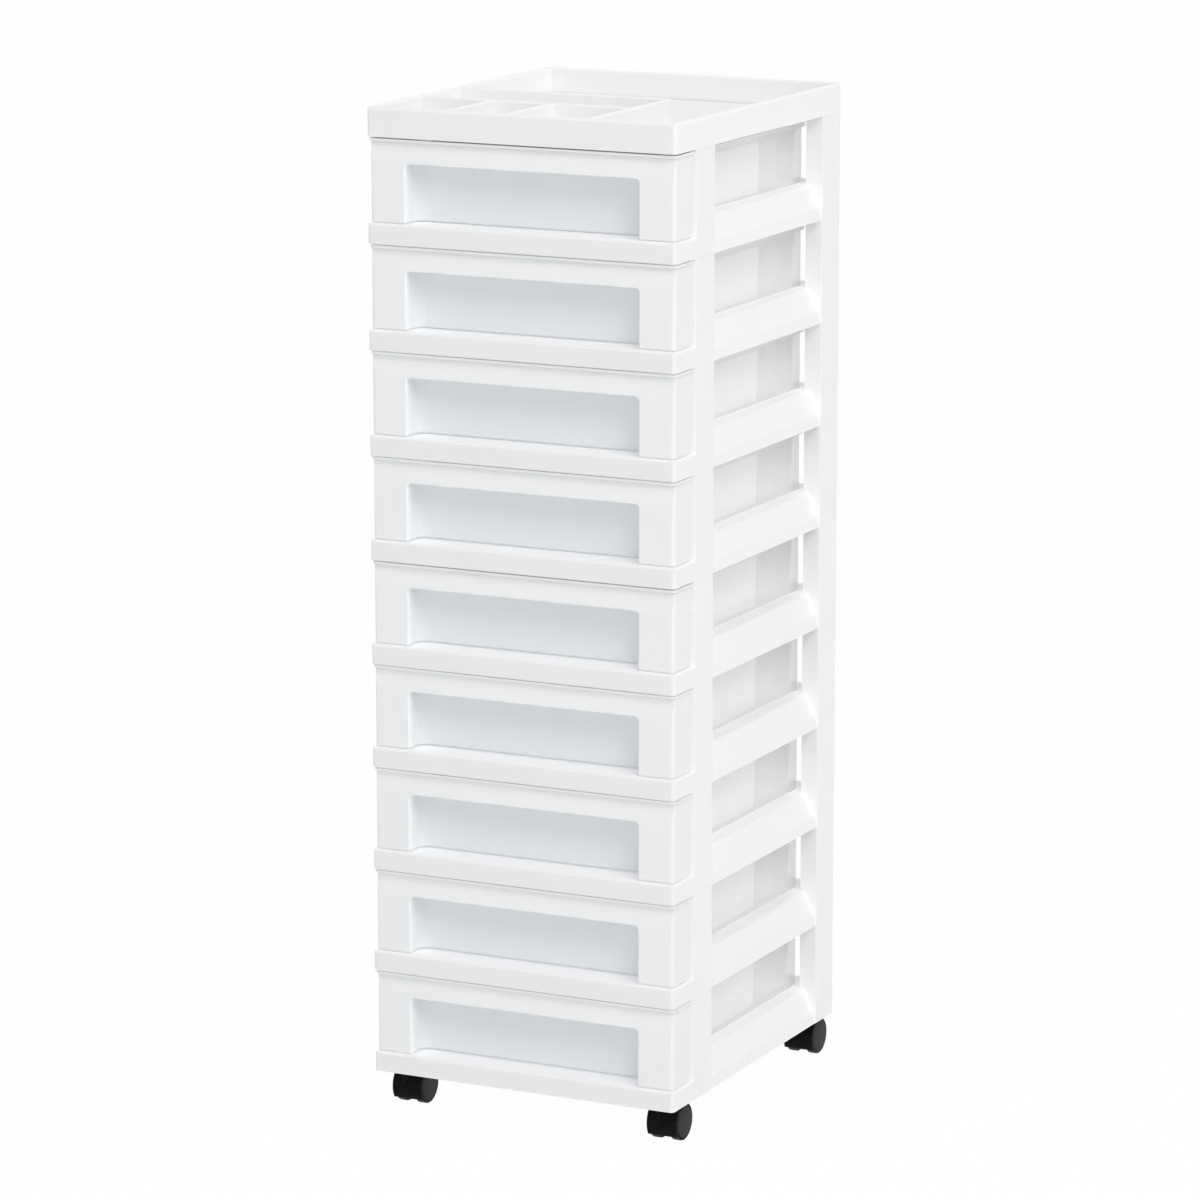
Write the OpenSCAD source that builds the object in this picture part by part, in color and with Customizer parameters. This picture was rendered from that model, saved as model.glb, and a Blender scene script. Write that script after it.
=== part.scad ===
// Tower of nine pull-out drawers: stacked frame mouldings, an organiser tray on top, twin-wheel casters below.
// Millimetres. X is to the right, Y to the back and Z up. The floor is Z = 0 and the tower stands over the origin.

/* [Tower] */
// Width of the frames across their sides
frame_w = 306; // [290:1:330]
// Depth of the frames, front to back
frame_d = 362; // [340:1:400]
// Height that each tier adds to the stack
tier_pitch = 96.6; // [92:0.2:110]
// Height of the base's lower edge above the floor
base_h = 38; // [37.6:0.1:45]

/* [Frame moulding] */
// Wall of the frames
frame_wall = 2.2; // [1.8:0.1:2.8]
// Height of a shelf, from its lower edge to its deck
shelf_h = 19; // [17:0.5:22]
// Depth of the bare ledge in front of the front posts
ledge_d = 43; // [40:0.5:48]
// Radius of the shelf corners, seen from above
corner_r = 4; // [2:0.5:8]
// Radius along the upper edges of the ledge
ledge_edge_r = 3; // [1:0.5:5]
// Width of a post, from its outer to its inner side
post_w = 17; // [15:0.5:19]
// Depth of a front post
front_post_d = 40; // [30:1:50]
// Depth of a rear post
rear_post_d = 42; // [30:1:50]
// Lean of the posts' outer sides over their height
post_draft = 0.8; // [0:0.1:1.2]
// Radius of the posts' upright edges
post_edge_r = 1.5; // [0.5:0.1:2]
// Thickness of the ribs under a deck
rib_t = 1.6; // [1.2:0.1:2.4]
// Height of the ribs under a deck
rib_h = 9; // [4:0.5:14]
// Greatest distance between two ribs
rib_gap = 62; // [40:1:90]
// Depth to which the pegs under a shelf reach into the posts below
peg_h = 8; // [4:0.5:12]
// Gap between a peg and the post it stands in
peg_gap = 0.3; // [0.2:0.05:0.5]

/* [Guide rails] */
// Height of the rails' flat tops above a shelf's lower edge
rail_h = 32.5; // [28:0.5:40]
// Overhang of the rails past the posts' inner sides
rail_step = 9.5; // [6:0.5:12]
// Inset of a side rail's foot from the frame's side
rail_foot_in = 0.5; // [0.2:0.1:1]
// Inset of a side rail's wall where its shoulder starts
rail_wall_in = 2.5; // [2:0.1:3]
// Height at which a side rail's shoulder starts
rail_wall_h = 11; // [8:0.5:14]
// Height and width of a side rail's shoulder
rail_shoulder = 2.6; // [1.5:0.1:4]
// Lean of a side rail's upper wall, in degrees from upright
rail_lean = 18.5; // [12:0.5:24]
// Radius between a rail's upper wall and its flat top
rail_edge_r = 4.3; // [2:0.1:5]
// Width of the back rail
back_rail_w = 9; // [7:0.5:12]

/* [Drawer] */
// Wall of the drawers
drawer_wall = 2; // [1.6:0.1:2.4]
// Gap between the drawer front and the ends of the ledge
front_side_gap = 1.7; // [1.6:0.1:3]
// Distance of the drawer's face behind the ledge's front edge
face_setback = 3; // [2:0.1:5]
// Gap between the drawer front and the front posts
front_post_gap = 5; // [3:0.5:8]
// Gap between a drawer's top and the shelf above
drawer_top_gap = 1.3; // [1:0.1:3]
// Height of a drawer's floor above the deck
floor_lift = 1; // [0.8:0.1:2]
// Running gap between a drawer's runners and the deck
runner_gap = 0.3; // [0.2:0.05:0.5]
// Width of a runner under a drawer
runner_w = 3; // [2:0.5:6]
// Distance of a runner from the tub's side
runner_inset = 20; // [10:1:60]
// Radius of the drawer front's upright edges
front_edge_r = 4.5; // [2.5:0.5:8]
// Height of the lip along the drawer's top
lip_h = 2.2; // [1.5:0.1:4]
// Overhang of the lip
lip_out = 1.5; // [0.8:0.1:1.6]
// Depth of the hollow sweep in the face below the lip
cove_d = 2; // [0.5:0.1:3]
// Height of the face's hollow sweep
cove_h = 23; // [14:0.5:30]

/* [Finger pull] */
// Width of the face at each side of the pull
pillar_w = 35.5; // [30:0.5:60]
// Height of the face above the pull
band_h = 22.3; // [18:0.1:32]
// Depth of the pull behind the face
pull_d = 24; // [16:0.5:30]
// Radius of the pull's upper corners in the face
pull_corner_r = 4; // [2:0.5:8]
// Radius where the pull's sides meet its back panel
pull_back_r = 10; // [4:0.5:14]
// Radius of the rounded edge round the pull
pull_lip_r = 1.5; // [0.5:0.1:2]

/* [Drawer tub] */
// Gap between the tub and the side rails
tub_side_gap = 5.5; // [4.4:0.1:8]
// Gap between the tub and the back rail
tub_back_gap = 4; // [2:0.5:10]
// Height of the tub's walls below the drawer's top
tub_drop = 7.3; // [4:0.1:20]
// Lean of the tub's sides over their height
tub_draft = 1.2; // [0:0.1:2]
// Radius of the tub's rear corners, seen from above
tub_corner_r = 8; // [4:0.5:16]
// Radius along the tub's lower edges
tub_floor_r = 5; // [3:0.5:8]
// Overhang of the tub's turned-down rim
rim_out = 4; // [3:0.1:4.2]
// Height of the tub's turned-down rim
rim_h = 4.4; // [3:0.1:8]
// Thickness of the tub's turned-down rim
rim_t = 1.6; // [1.2:0.1:2]

/* [Top tray] */
// Height of the tray
tray_h = 27; // [20:0.5:40]
// Height of the tray's floor above its lower edge
tray_floor_h = 3; // [3:0.1:5]
// Thickness of the tray's rim and dividers
tray_rim_w = 6; // [5:0.5:9]
// Wall of the tray
tray_wall = 2; // [1.5:0.1:2.4]
// Radius along the tray's upper outer edges
tray_edge_r = 3; // [1:0.5:3.5]
// Distance of the front row's rear divider from the tray's front
row_d = 96; // [60:1:120]
// Distance of the cell block's rear wall from the tray's front
block_d = 173; // [140:1:220]
// Distance of the cell block's right wall from the tray's left side
block_w = 218; // [200:1:260]
// Distance of the front row's first divider from the tray's left side
cell_1_w = 78; // [50:1:100]
// Distance of the front row's second divider from the tray's left side
cell_2_w = 137; // [115:1:180]
// Radius of the cell block's free corner
block_r = 8; // [4:0.5:16]
// Radius in the corners of the tray's cells
cell_r = 3; // [1:0.5:6]
// Radius along the upper edges of the cells
divider_edge_r = 2; // [0.5:0.5:2]

/* [Casters] */
// Distance of a caster's stem from the frame's side
caster_in_x = 22; // [18:0.5:26]
// Distance of a caster's stem from the frame's front or back
caster_in_y = 28; // [24:0.5:34]
// Distance of the axle behind the stem
caster_trail = 13.5; // [12:0.5:16]
// Radius of the wheels
wheel_r = 17.5; // [15:0.5:17.5]
// Width across the pair of wheels
caster_w = 30; // [28:0.5:36]
// Gap between the wheels and the hood
hood_gap = 0.7; // [0.5:0.1:1]
// Wall of the hood
hood_wall = 1.4; // [1:0.1:1.4]
// Thickness of the hood's middle web
web_t = 11.8; // [11:0.2:13]
// Height of the hood's lower edge above the floor
hood_low_h = 6.5; // [4:0.5:9]
// Angle past upright at which the hood ends behind the axle
hood_rear_angle = 35; // [10:1:60]
// Gap between a wheel's hub and the hood's web
hub_gap = 0.3; // [0.3:0.05:0.5]
// Radius of the axle
axle_r = 2; // [1.5:0.1:2.5]
// Radius of the stem
stem_r = 4; // [3.5:0.1:4.2]
// Running clearance of the axle and stem in their bores
pin_gap = 0.05; // [0.02:0.01:0.08]
// Length of the stem inside the base's socket
stem_in = 14; // [10:0.5:15]
// Wall of the base's stem sockets
socket_wall = 5; // [3:0.5:6]

/* [Hidden] */
$fn = 48;

tiers = 9;
bite = 1;       // how far joined shapes of one moulding run into each other
cut = 1;        // how far a cut runs past the face that it opens
arc_steps = 8;  // straight steps in a drawn arc

// Where the frame's parts stand, seen from above
half_w = frame_w / 2;
half_d = frame_d / 2;
front_post_y = -half_d + ledge_d;
front_post_back = front_post_y + front_post_d;
rear_post_y = half_d - rear_post_d;
post_in = half_w - post_w;
rail_in = post_in - rail_step;
back_rail_y = half_d - back_rail_w;
deck_low = shelf_h - frame_wall;

// The rear wheels reach past the frame, so the frames stand forward by half of that
stack_y = -max(0, caster_trail + wheel_r - caster_in_y) / 2;

// The drawer, from the same places and its gaps
face_y = -half_d + face_setback;
front_half_w = half_w - front_side_gap;
front_back_y = front_post_y - front_post_gap;
floor_low = shelf_h + floor_lift;
drawer_top = tier_pitch - drawer_top_gap;
tub_half_w = rail_in - tub_side_gap;
tub_back_y = back_rail_y - tub_back_gap;
tub_top = drawer_top - tub_drop;
pull_half_w = front_half_w - pillar_w;
pull_top = drawer_top - band_h;
pull_back_y = face_y + pull_d;
lip_low = drawer_top - lip_h;

// The casters
stem_x = half_w - caster_in_x;
stem_y = half_d - caster_in_y;
axle_h = wheel_r;
hood_in_r = wheel_r + hood_gap;
hood_out_r = hood_in_r + hood_wall;
wheel_in_x = web_t / 2 + hub_gap;
collar_gap = 0.3;                       // running gap over the hood, under the stem's collar
collar_h = base_h - axle_h - hood_out_r - collar_gap;
boss_wall = 3.4;                        // wall round the stem and the axle
boss_r = stem_r + boss_wall;
boss_low = axle_h + boss_wall;
stem_low = hood_low_h + 2 * boss_wall;

// The wheels, each measured outwards from its inner face
wheel_t = caster_w / 2 - wheel_in_x;
bore_d = wheel_t - 2.4;                 // the cap closes the outer end of the axle's bore
core_d = wheel_t - 4;
hub_r = axle_r + 2.6;
tread_t = 3;
inner_edge_r = 0.8;
tread_edge_r = 1.6;
cap_crown = 0.6;
cap_r = wheel_r - 2.3;
groove_w = 0.5;

// The tray's dividers, from the frame's front left corner
divider_half = tray_rim_w / 2;
row_y = -half_d + row_d;
block_y = -half_d + block_d + divider_half;
block_x = -half_w + block_w + divider_half;
cell_1_x = -half_w + cell_1_w;
cell_2_x = -half_w + cell_2_w;

function arc(c, r, a0, a1, n = arc_steps) =
    [for (i = [0:n]) c + r * [cos(a0 + (a1 - a0) * i / n), sin(a0 + (a1 - a0) * i / n)]];

// ---- shared shapes ----

// Block between its lowest and its highest corner
module span(low, high) {
    translate(low) cube(high - low);
}

// Section drawn in X and Z, run along Y
module run_y(y0, y1) {
    translate([0, y1, 0]) rotate([90, 0, 0]) linear_extrude(y1 - y0) children();
}

// Section drawn in Y and Z, run along X
module run_x(x0, x1) {
    translate([x0, 0, 0]) rotate([90, 0, 90]) linear_extrude(x1 - x0) children();
}

// Outline drawn in X and Y, run up from z0 to z1
module run_z(z0, z1) {
    translate([0, 0, z0]) linear_extrude(z1 - z0) children();
}

// Rectangle between two corners, with a radius for each: low left, low right, high right, high left
module outline(low, high, r = [0, 0, 0, 0]) {
    corners = [low, [high.x, low.y], high, [low.x, high.y]];
    inward = [[1, 1], [-1, 1], [-1, -1], [1, -1]];
    difference() {
        translate(low) square(high - low);
        for (i = [0:3]) if (r[i] > 0) translate(corners[i]) square(2 * r[i], center = true);
    }
    for (i = [0:3]) if (r[i] > 0) translate(corners[i] + r[i] * inward[i]) circle(r[i]);
}

// The same shape on the left and on the right
module both_sides() {
    children();
    mirror([1, 0, 0]) children();
}

// What rounding with radius e takes from an edge at the origin, on a body that lies to the right and below
module edge_cut(e) {
    polygon(concat([[-cut, -e]], arc([e, -e], e, 180, 90), [[e, cut], [-cut, cut]]));
}

// ---- frame moulding ----

// Places a tier's shape at its height in the stack, counted from the top
module at_tier(tier) {
    translate([0, stack_y, base_h + (tiers - tier) * tier_pitch]) children();
}

// Shelf before it is cored: rounded ledge in front, drawn in between the posts where the side rails stand
module shelf_block() {
    e = ledge_edge_r;
    difference() {
        intersection() {
            run_z(0, shelf_h) outline([-half_w, -half_d], [half_w, half_d], corner_r * [1, 1, 1, 1]);
            run_y(-half_d, half_d) outline([-half_w, 0], [half_w, shelf_h], [0, 0, e, e]);
            run_x(-half_w, half_w) outline([-half_d, 0], [half_d, shelf_h], [0, 0, 0, e]);
        }
        both_sides() span([post_in, front_post_back, -cut], [half_w + cut, rear_post_y, shelf_h + cut]);
    }
}

// Foot and drafted shaft of a post, before it is cored
module post_block(y0, y1, foot_r, back_r) {
    run_z(0, shelf_h) outline([post_in, y0], [half_w, y1], [0, 0, foot_r, 0]);
    intersection() {
        run_z(shelf_h, tier_pitch) outline([post_in, y0], [half_w, y1], [0, post_edge_r, back_r, 0]);
        run_y(y0, y1) post_section(0);
    }
}

// Section of a post's shaft in X and Z, its walls moved in by inset
module post_section(inset) {
    top = inset > 0 ? tier_pitch + cut : tier_pitch;
    polygon([[post_in + inset, shelf_h], [half_w - inset, shelf_h],
        [half_w - post_draft - inset, top], [post_in + inset, top]]);
}

// Section of a side rail in X and Z: foot, shoulder, leaning upper wall and flat top
module rail_section() {
    wall_x = half_w - rail_wall_in;
    shoulder_x = wall_x - rail_shoulder;
    shoulder_h = rail_wall_h + rail_shoulder;
    crest_x = shoulder_x - (rail_h - shoulder_h) * tan(rail_lean);
    crest_in = rail_edge_r * tan((90 - rail_lean) / 2);
    polygon(concat(
        [[rail_in, 0], [half_w - rail_foot_in, 0], [wall_x, rail_wall_h], [shoulder_x, shoulder_h]],
        arc([crest_x - crest_in, rail_h - rail_edge_r], rail_edge_r, rail_lean, 90), [[rail_in, rail_h]]));
}

// Side and back rails before they are cored, with the guides that run on between the posts
module rail_blocks() {
    both_sides() {
        run_y(front_post_back, rear_post_y) rail_section();
        span([rail_in, front_post_y, 0], [post_in + bite, half_d - bite, rail_h]);
    }
    run_x(-post_in - bite, post_in + bite) outline([back_rail_y, 0], [half_d, rail_h], [0, 0, ledge_edge_r, 0]);
}

// Cores that leave the shelf, rails and posts as walls, all open below or at the posts' tops
module frame_cores() {
    w = frame_wall;
    core_w = half_w - w;
    span([-core_w, -half_d + w, -cut], [core_w, front_post_back - w, deck_low]);
    span([-core_w, rear_post_y + w, -cut], [core_w, half_d - w, deck_low]);
    span([-post_in, front_post_back - w - cut, -cut], [post_in, rear_post_y + w + cut, deck_low]);
    span([-post_in, back_rail_y + w, -cut], [post_in, half_d - w, rail_h - w]);
    both_sides() {
        span([rail_in + w, front_post_y + w, -cut], [post_in, half_d - w, rail_h - w]);
        intersection() {
            run_y(front_post_back, rear_post_y) translate([-w, -w]) rail_section();
            span([rail_in + w, front_post_back, -w], [half_w, rear_post_y, rail_h]);
        }
        run_y(front_post_y + w, front_post_back - w) post_section(w);
        run_y(rear_post_y + w, half_d - w) post_section(w);
    }
}

// Ribs under the deck, evenly spaced both ways, and the seats that stand on the posts below
module deck_ribs() {
    low = deck_low - rib_h;
    high = deck_low + bite;
    across = ceil(2 * rail_in / rib_gap);
    along = ceil((back_rail_y + half_d) / rib_gap);
    for (i = [1:across - 1])
        translate([-rail_in + 2 * rail_in * i / across, 0, 0])
            span([-rib_t / 2, -half_d + bite, low], [rib_t / 2, back_rail_y + bite, high]);
    for (i = [1:along - 1])
        translate([0, -half_d + (back_rail_y + half_d) * i / along, 0])
            span([-rail_in - bite, -rib_t / 2, low], [rail_in + bite, rib_t / 2, high]);
    both_sides() {
        span([post_in, front_post_y, 0], [post_in + frame_wall, front_post_back, high]);
        span([post_in, front_post_y, 0], [half_w - bite, front_post_y + frame_wall, high]);
        span([post_in, rear_post_y, 0], [post_in + frame_wall, half_d - bite, high]);
    }
}

// Hollow pegs that stand in the four posts below, hung from a floor whose underside is at top
module stack_pegs(top) {
    x0 = post_in + frame_wall + peg_gap;
    x1 = half_w - post_draft - frame_wall - peg_gap;
    in = frame_wall + peg_gap;
    both_sides()
        for (y = [[front_post_y + in, front_post_back - in], [rear_post_y + in, half_d - in]])
            difference() {
                span([x0, y[0], -peg_h], [x1, y[1], top + bite]);
                span([x0 + rib_t, y[0] + rib_t, -peg_h - cut], [x1 - rib_t, y[1] - rib_t, top]);
            }
}

// Sockets for the caster stems, blind and open below
module stem_sockets() {
    for (x = [-stem_x, stem_x], y = [-stem_y, stem_y])
        translate([x, y, 0]) difference() {
            cylinder(r = stem_r + pin_gap + socket_wall, h = max(deck_low, stem_in + frame_wall) + bite);
            translate([0, 0, -cut]) cylinder(r = stem_r + pin_gap, h = stem_in + cut);
        }
}

module tier_frame(tier) {
    color("white") at_tier(tier) {
        difference() {
            union() {
                shelf_block();
                both_sides() {
                    post_block(front_post_y, front_post_back, 0, post_edge_r);
                    post_block(rear_post_y, half_d, corner_r, corner_r);
                }
                rail_blocks();
            }
            frame_cores();
        }
        deck_ribs();
        if (tier < tiers) stack_pegs(deck_low);
        if (tier == tiers) stem_sockets();
    }
}

// ---- drawer ----

// How far the face lies behind its flat foot at height z: a soft sweep that is deepest under the lip
function face_in(z) = z <= lip_low - cove_h ? 0 : cove_d / 2 * (1 - cos(180 * (z - lip_low + cove_h) / cove_h));

// Broad front part of the drawer, its walls moved in by inset
module front_block(inset) {
    low = floor_low + inset;
    high = inset > 0 ? drawer_top + cut : lip_low + bite / 2;
    face_steps = [for (i = [0:arc_steps * 2]) lip_low - cove_h + cove_h * i / (arc_steps * 2)];
    r = front_edge_r - inset;
    intersection() {
        run_z(low, high) outline([-front_half_w + inset, face_y + inset],
            [front_half_w - inset, front_back_y - inset], [r, r, 0, 0]);
        run_x(-front_half_w, front_half_w) polygon(concat(
            [[face_y + inset, low]],
            [for (z = face_steps) [face_y + inset + face_in(z), z]],
            [[face_y + inset + cove_d, high], [front_back_y - inset, high], [front_back_y - inset, low]]));
    }
}

// Lip along the front's top, wrapped round its sides
module front_lip() {
    r = front_edge_r + lip_out;
    run_z(lip_low, drawer_top) outline([-front_half_w - lip_out, face_y - lip_out],
        [front_half_w + lip_out, front_back_y], [r, r, 0, 0]);
}

// Tub behind the front, its walls moved in by inset
module tub_block(inset) {
    low = floor_low + inset;
    high = inset > 0 ? drawer_top + cut : tub_top;
    y0 = inset > 0 ? pull_back_y : front_back_y - bite;
    y1 = tub_back_y - inset;
    w = tub_half_w - inset;
    foot_w = w - tub_draft;
    r = tub_floor_r - inset;
    intersection() {
        run_z(low, high) outline([-w, y0], [w, y1], (tub_corner_r - inset) * [0, 0, 1, 1]);
        run_x(-w, w) outline([y0, low], [y1, high], [0, r, 0, 0]);
        run_y(y0, y1) polygon(concat(
            [[-w, high]], arc([-foot_w + r, low + r], r, 180, 270), arc([foot_w - r, low + r], r, 270, 360),
            [[w, high]]));
    }
}

// Turned-down rim round the tub
module tub_rim() {
    low = tub_top - rim_h;
    difference() {
        run_z(low, tub_top) rim_outline(rim_out);
        run_z(low - cut, tub_top - rim_t) rim_outline(rim_out - rim_t);
    }
}

module rim_outline(out) {
    outline([-tub_half_w - out, front_back_y - bite], [tub_half_w + out, tub_back_y + out],
        (tub_corner_r + out) * [0, 0, 1, 1]);
}

// Space of the finger pull, open below and in front, its walls moved out by grow
module pull_space(grow) {
    w = pull_half_w + grow;
    intersection() {
        run_z(floor_low - cut, pull_top + grow) outline([-w, face_y - cut], [w, pull_back_y + grow],
            (pull_back_r + grow) * [0, 0, 1, 1]);
        run_y(face_y - cut, pull_back_y + grow) outline([-w, floor_low - cut], [w, pull_top + grow],
            (pull_corner_r + grow) * [0, 0, 1, 1]);
    }
}

// What the rounding of the edge between the face and the pull takes away
module pull_edge() {
    e = pull_lip_r;
    corner_x = pull_half_w - pull_corner_r;
    corner_z = pull_top - pull_corner_r;
    both_sides() {
        run_z(floor_low - cut, corner_z) translate([pull_half_w, face_y]) mirror([0, 1]) edge_cut(e);
        translate([corner_x, face_y, corner_z]) rotate([90, 0, 0]) rotate_extrude()
            translate([pull_corner_r, 0]) edge_cut(e);
    }
    run_x(-corner_x, corner_x) translate([face_y, pull_top]) mirror([0, 1]) edge_cut(e);
}

module runners() {
    both_sides() translate([tub_half_w - runner_inset, 0, 0])
        span([-runner_w / 2, pull_back_y + drawer_wall, shelf_h + runner_gap],
            [runner_w / 2, tub_back_y - tub_floor_r, floor_low + drawer_wall / 2]);
}

module drawer(tier) {
    color([0.87, 0.89, 0.91]) at_tier(tier) difference() {
        union() {
            front_block(0);
            front_lip();
            tub_block(0);
            tub_rim();
            runners();
        }
        difference() {
            union() {
                front_block(drawer_wall);
                tub_block(drawer_wall);
            }
            pull_space(drawer_wall);
        }
        pull_space(0);
        pull_edge();
    }
}

// ---- top tray ----

// Cell cut down to the tray's floor, with its upper edges rounded
module tray_cell(low, high) {
    e = divider_edge_r;
    r = cell_r;
    run_z(tray_floor_h, tray_h + cut) outline(low, high, r * [1, 1, 1, 1]);
    for (x = [low.x, high.x])
        run_y(low.y + r, high.y - r) translate([x, tray_h]) mirror([x == low.x ? 1 : 0, 0]) edge_cut(e);
    for (y = [low.y, high.y])
        run_x(low.x + r, high.x - r) translate([y, tray_h]) mirror([y == low.y ? 1 : 0, 0]) edge_cut(e);
    for (x = [low.x + r, high.x - r], y = [low.y + r, high.y - r])
        translate([x, y, tray_h]) rotate_extrude() translate([r, 0]) edge_cut(e);
}

// Outer side of the cell block, with its rounded upper edges and free corner, cut from the open L round it
module block_edges() {
    e = divider_edge_r;
    run_y(-half_d + tray_rim_w, block_y - block_r) translate([block_x, tray_h]) mirror([1, 0]) edge_cut(e);
    run_x(-half_w + tray_rim_w, block_x - block_r) translate([block_y, tray_h]) mirror([1, 0]) edge_cut(e);
    translate([block_x - block_r, block_y - block_r, tray_h]) intersection() {
        rotate_extrude() translate([block_r, 0]) mirror([1, 0]) edge_cut(e);
        span([0, 0, -e - cut], [block_r + cut, block_r + cut, e + cut]);
    }
}

// All the cells: three in a front row, a long one behind them, and the open L at the back and right
module tray_cells() {
    in_x = half_w - tray_rim_w;
    in_y = half_d - tray_rim_w;
    edges = [-in_x, cell_1_x - divider_half, cell_1_x + divider_half, cell_2_x - divider_half,
        cell_2_x + divider_half, block_x - tray_rim_w];
    for (i = [0:2:4]) tray_cell([edges[i], -in_y], [edges[i + 1], row_y - divider_half]);
    tray_cell([-in_x, row_y + divider_half], [block_x - tray_rim_w, block_y - tray_rim_w]);
    difference() {
        tray_cell([-in_x, -in_y], [in_x, in_y]);
        run_z(-cut, tray_h + 2 * cut) outline([-half_w, -half_d], [block_x, block_y], [0, 0, block_r, 0]);
    }
    block_edges();
}

// Slots that leave the rim and dividers as folded walls, open below
module tray_cores() {
    high = tray_h - tray_wall;
    slot = divider_half - tray_wall;
    rim_in = tray_rim_w - tray_wall;
    difference() {
        run_z(-cut, high) outline([-half_w + tray_wall, -half_d + tray_wall],
            [half_w - tray_wall, half_d - tray_wall], (corner_r - tray_wall / 2) * [1, 1, 1, 1]);
        run_z(-2 * cut, tray_h) outline([-half_w + rim_in, -half_d + rim_in],
            [half_w - rim_in, half_d - rim_in], cell_r * [1, 1, 1, 1]);
    }
    span([-half_w + tray_rim_w, -half_d + tray_rim_w, -cut],
        [half_w - tray_rim_w, half_d - tray_rim_w, tray_floor_h - tray_wall]);
    for (x = [cell_1_x, cell_2_x])
        span([x - slot, -half_d + tray_rim_w, -cut], [x + slot, row_y, high]);
    for (y = [row_y, block_y - divider_half])
        span([-half_w + tray_rim_w, y - slot, -cut], [block_x - tray_rim_w - cell_r, y + slot, high]);
    span([block_x - divider_half - slot, -half_d + tray_rim_w, -cut],
        [block_x - divider_half + slot, block_y - tray_rim_w - cell_r, high]);
}

module top_tray() {
    r = tray_edge_r;
    color("white") at_tier(0) {
        difference() {
            intersection() {
                run_z(0, tray_h) outline([-half_w, -half_d], [half_w, half_d], corner_r * [1, 1, 1, 1]);
                run_y(-half_d, half_d) outline([-half_w, 0], [half_w, tray_h], [0, 0, r, r]);
                run_x(-half_w, half_w) outline([-half_d, 0], [half_d, tray_h], [0, 0, r, r]);
            }
            tray_cells();
            tray_cores();
        }
        stack_pegs(tray_floor_h - tray_wall);
    }
}

// ---- caster ----

// Places a caster's shape with its stem over the origin: side is -1 for left, end is -1 for front
module at_caster(side, end) {
    translate([side * stem_x, end * stem_y + stack_y, 0]) children();
}

// Round section about the axle
module axle_disc(r) {
    translate([caster_trail, axle_h]) circle(r);
}

// Room for the two wheels, up to the hood's inner face
module wheel_room() {
    both_sides() run_x(web_t / 2, caster_w) axle_disc(hood_in_r);
}

// Hood over the front and top of the wheels, in one piece with the web between them and the stem's boss
module hood(side, end) {
    low_angle = asin((axle_h - hood_low_h) / hood_out_r);
    reach = 2 * hood_out_r;
    color([0.09, 0.09, 0.1]) at_caster(side, end) difference() {
        union() {
            intersection() {
                run_x(-caster_w / 2, caster_w / 2) difference() {
                    axle_disc(hood_out_r);
                    axle_disc(hood_in_r);
                }
                run_x(-caster_w / 2, caster_w / 2) translate([caster_trail, axle_h])
                    polygon(concat([[0, 0]], arc([0, 0], reach, 90 - hood_rear_angle, 180 + low_angle)));
            }
            intersection() {
                run_x(-web_t / 2, web_t / 2) axle_disc(hood_in_r + hood_wall / 2);
                span([-web_t / 2, -reach, hood_low_h], [web_t / 2, caster_trail + axle_r + boss_wall + bite, reach * 2]);
            }
            difference() {
                translate([0, 0, boss_low]) cylinder(r = boss_r, h = axle_h + hood_out_r - boss_low);
                wheel_room();
            }
        }
        translate([0, 0, stem_low]) cylinder(r = stem_r + pin_gap, h = base_h);
        run_x(-caster_w, caster_w) axle_disc(axle_r + pin_gap);
    }
}

// Steel stem with a thin collar against the base
module stem(side, end) {
    color("silver") at_caster(side, end) {
        translate([0, 0, stem_low + collar_gap]) cylinder(r = stem_r, h = base_h + stem_in - stem_low - 2 * collar_gap);
        translate([0, 0, base_h - collar_h]) cylinder(r = boss_r, h = collar_h);
    }
}

module axle(side, end) {
    reach = wheel_in_x + bore_d - collar_gap;
    color("silver") at_caster(side, end) run_x(-reach, reach) axle_disc(axle_r);
}

// Wheel with its rounded tread, hub, cored back and crowned cap; x is -1 for the left wheel of the pair
module wheel(side, end, x) {
    color([0.2, 0.2, 0.2]) at_caster(side, end) translate([0, caster_trail, axle_h])
        rotate([0, x * 90, 0]) translate([0, 0, wheel_in_x]) rotate_extrude() wheel_section();
}

// Half section of a wheel: distance from the axle, and depth from its inner face outwards
module wheel_section() {
    tread_d = wheel_t - cap_crown;
    crown_r = (cap_r * cap_r + cap_crown * cap_crown) / (2 * cap_crown);
    crown_a = asin(cap_r / crown_r);
    polygon(concat(
        [[axle_r + pin_gap, 0], [hub_r, 0], [hub_r, core_d], [wheel_r - tread_t, core_d], [wheel_r - tread_t, 0]],
        arc([wheel_r - inner_edge_r, inner_edge_r], inner_edge_r, 270, 360),
        arc([wheel_r - tread_edge_r, tread_d - tread_edge_r], tread_edge_r, 0, 90),
        [[cap_r + groove_w, tread_d], [cap_r + groove_w, tread_d - groove_w], [cap_r, tread_d - groove_w]],
        arc([0, wheel_t - crown_r], crown_r, 90 - crown_a, 90 - crown_a / arc_steps, arc_steps - 1),
        [[0, wheel_t - crown_r + crown_r * cos(crown_a / arc_steps)], [0, bore_d], [axle_r + pin_gap, bore_d]]));
}

// ---- nodes ----

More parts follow.
